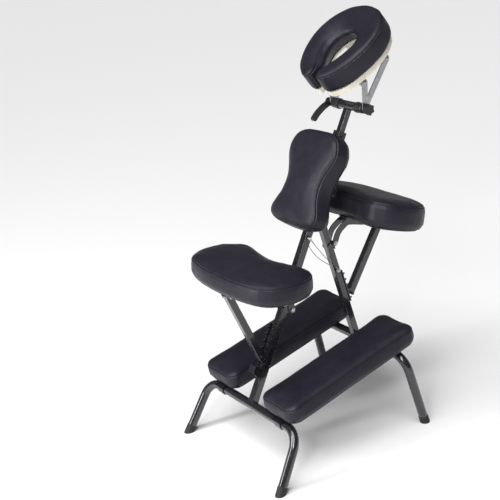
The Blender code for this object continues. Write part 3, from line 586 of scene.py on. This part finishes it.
def look_of(node):
    """Which material a CAD node takes."""
    if "foot" in node:
        return "rubber"
    if "board" in node:
        return "cloth"
    if "bolt" in node or "cable" in node or node == "cradle_rod":
        return "zinc"
    if node.startswith("cradle_arm"):
        return "aluminium"
    if node == "cradle_platform":
        return "cream"
    if node in ("post_collar", "bushing_left", "bushing_right", "cam_lever", "star_knob",
                "chest_knob"):
        return "plastic"
    return "steel"


def dress_hard_parts():
    for node, obj in NODES.items():
        if "pad" in node or node == "face_cushion":
            continue
        obj.data.materials.clear()
        obj.data.materials.append(LOOKS[look_of(node)])
        refine(obj, TUBE_ROUNDING if node in SQUARE_TUBES else EDGE_ROUNDING)


def middle(node):
    low, high = (Vector(corner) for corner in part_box(node))
    return (low + high) / 2


def tube(name, points, radius, material, sides=12):
    """A round bar along a smooth run of points."""
    data = bpy.data.curves.new(name, "CURVE")
    data.dimensions = "3D"
    data.bevel_depth = radius
    data.bevel_resolution = sides // 4
    data.use_fill_caps = True
    spline = data.splines.new("POLY")
    spline.points.add(len(points) - 1)
    for target, point in zip(spline.points, points):
        target.co = (*point, 1)
    data.materials.append(material)
    path = bpy.data.objects.new(name + "_path", data)
    bpy.context.scene.collection.objects.link(path)
    mesh = evaluated_mesh(path)
    bpy.data.objects.remove(path)
    bpy.data.curves.remove(data)
    for face in mesh.polygons:
        face.use_smooth = True
    obj = bpy.data.objects.new(name, mesh)
    bpy.context.scene.collection.objects.link(obj)
    return obj


def bowed(start, end, bow):
    """Points from start to end that bow away from the chord by the vector at its middle."""
    out = []
    for i in range(WIRE_POINTS):
        t = i / (WIRE_POINTS - 1)
        out.append(start.lerp(end, t) + bow * math.sin(math.pi * t))
    return out


def limit_cable(label, bow):
    """A thin wire rope between the posts, bowed a little, with its upper eye and its crimp."""
    node = "limit_cable_" + label
    x = middle(node).x
    start = middle("cable_bolt_upper")
    end = middle("cable_end_" + label)
    start.x = end.x = x
    along = (end - start).normalized()
    end -= along * WIRE_END_INSET
    route = bowed(start + along * WIRE_INSET, end, bow)
    wire = tube(node + "_wire", route, WIRE_R, LOOKS["rope"])
    toward = (route[1] - route[0]).normalized()
    sleeve = [route[0], route[0] + toward * SLEEVE_LENGTH]
    crimp = tube(node + "_crimp", sleeve, SLEEVE_R, LOOKS["zinc"], 16)
    across = Vector((1, 0, 0)).cross(along)
    turns = [2 * math.pi * k / EYE_POINTS for k in range(EYE_POINTS + 1)]
    ring = [start + (along * math.cos(turn) + across * math.sin(turn)) * EYE_R for turn in turns]
    eye = tube(node + "_eye", ring, EYE_WIRE_R, LOOKS["zinc"])
    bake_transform(wire)
    for piece in (crimp, eye):
        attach(piece, BODY_OF[node])
    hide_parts(node)


# ================================================================ stage
def area_light(name, energy, size, place):
    """A rectangular panel that faces the chair."""
    data = bpy.data.lights.new(name, "AREA")
    data.energy = energy
    data.shape = "RECTANGLE"
    data.size, data.size_y = size
    obj = bpy.data.objects.new(name, data)
    obj.location = place
    obj.rotation_euler = (Vector(LIT_POINT) - Vector(place)).to_track_quat("-Z", "Y").to_euler()
    bpy.context.scene.collection.objects.link(obj)


def make_stage():
    """The floor, a world that lights dimly and shows pale behind it, a sun and two panels."""
    bm = bmesh.new()
    bmesh.ops.create_grid(bm, x_segments=4, y_segments=4, size=FLOOR_SIZE / 2)
    floor = link_mesh("floor", bm, LOOKS["floor"], False)
    world = bpy.data.worlds.new("studio")
    world.use_nodes = True
    tree = world.node_tree
    dim = tree.nodes["Background"]
    pale = add_node(tree, "ShaderNodeBackground", {"Color": (1, 1, 1, 1),
                                                   "Strength": BACKDROP_STRENGTH})
    dim.inputs["Color"].default_value = (1, 1, 1, 1)
    dim.inputs["Strength"].default_value = WORLD_STRENGTH
    choose = add_node(tree, "ShaderNodeMixShader")
    tree.links.new(add_node(tree, "ShaderNodeLightPath").outputs["Is Camera Ray"],
                   choose.inputs["Fac"])
    tree.links.new(dim.outputs[0], choose.inputs[1])
    tree.links.new(pale.outputs[0], choose.inputs[2])
    tree.links.new(choose.outputs[0], tree.nodes["World Output"].inputs["Surface"])
    bpy.context.scene.world = world
    sun = bpy.data.lights.new("sky_panel", "SUN")
    sun.energy = SUN_STRENGTH
    sun.angle = SUN_SPREAD
    sky = bpy.data.objects.new("sky_panel", sun)
    sky.rotation_euler = SUN_DIRECTION.to_track_quat("-Z", "Y").to_euler()
    bpy.context.scene.collection.objects.link(sky)
    area_light("strip_left", 60, (0.5, 2.2), (-0.6, -2.8, 1.6))
    area_light("front_panel", 34, (0.7, 0.7), (2.1, -2.5, 2.3))


def make_camera():
    """The photograph's view: azimuth and elevation about the target, then a roll."""
    a, e, r = (math.radians(v) for v in (CAMERA_AZIMUTH, CAMERA_ELEVATION, CAMERA_ROLL))
    back = Vector((math.sin(a) * math.cos(e), -math.cos(a) * math.cos(e), math.sin(e)))
    right = Vector((math.cos(a), math.sin(a), 0))
    up = back.cross(right)
    turned = (right * math.cos(r) + up * math.sin(r), up * math.cos(r) - right * math.sin(r), back)
    matrix = Matrix(turned).transposed().to_4x4()
    matrix.translation = CAMERA_TARGET + back * CAMERA_DISTANCE
    data = bpy.data.cameras.new("camera")
    data.lens = CAMERA_LENS
    data.sensor_width = 36
    data.shift_x, data.shift_y = CAMERA_SHIFT
    data.clip_start, data.clip_end = 0.05, 200
    camera = bpy.data.objects.new("camera", data)
    camera.matrix_world = matrix
    bpy.context.scene.collection.objects.link(camera)
    bpy.context.scene.camera = camera


LOOKS = {
    "vinyl": vinyl("black_vinyl"),
    "thread": moulded("black_thread", (0.010, 0.010, 0.012), (0.022, 0.022, 0.026), 0.55),
    "steel": powder_coat("charcoal_powder_coat"),
    "zinc": bare_metal("zinc_plate", (0.62, 0.62, 0.60), 0.30),
    "rope": bare_metal("steel_wire_rope", (0.17, 0.17, 0.18), 0.42, 1800.0),
    "aluminium": bare_metal("aluminium_bar", (0.46, 0.47, 0.50), 0.34),
    "plastic": moulded("black_plastic", (0.012, 0.012, 0.013), (0.022, 0.022, 0.024), 0.38),
    "rubber": moulded("black_rubber", (0.006, 0.006, 0.006), (0.012, 0.012, 0.012), 0.66, 900.0),
    "cloth": black_cloth("black_cloth"),
    "cream": moulded("cream_plastic", (0.70, 0.66, 0.54), (0.80, 0.77, 0.66), 0.34),
    "floor": plain("pale_floor", (0.86, 0.86, 0.86), 0.60),
}

make_camera()
make_stage()
dress_hard_parts()
for label, nodes, mount in (
        ("seat", ("seat_pad", "seat_board"), "seat_top"),
        ("armrest", ("armrest_pad", "armrest_board"), "armrest_top"),
        ("chest", ("chest_pad", "chest_board"), "chest_face"),
        ("knee_left", ("knee_pad_left", "knee_board_left"), "knee_top_left"),
        ("knee_right", ("knee_pad_right", "knee_board_right"), "knee_top_right")):
    upholster(label + "_cover", nodes, axis_frame(mount))
    underside(label + "_dust_cloth", nodes[1], axis_frame(mount))
upholster("face_cover", ("face_cushion",), cushion_frame(), cap=0.004, shrink=0.002,
          soft_passes=7)
limit_cable("right", Vector((0, -0.002, -0.003)))
limit_cable("left", Vector((0, -0.007, -0.010)))

bpy.context.scene.view_settings.view_transform = "Standard"
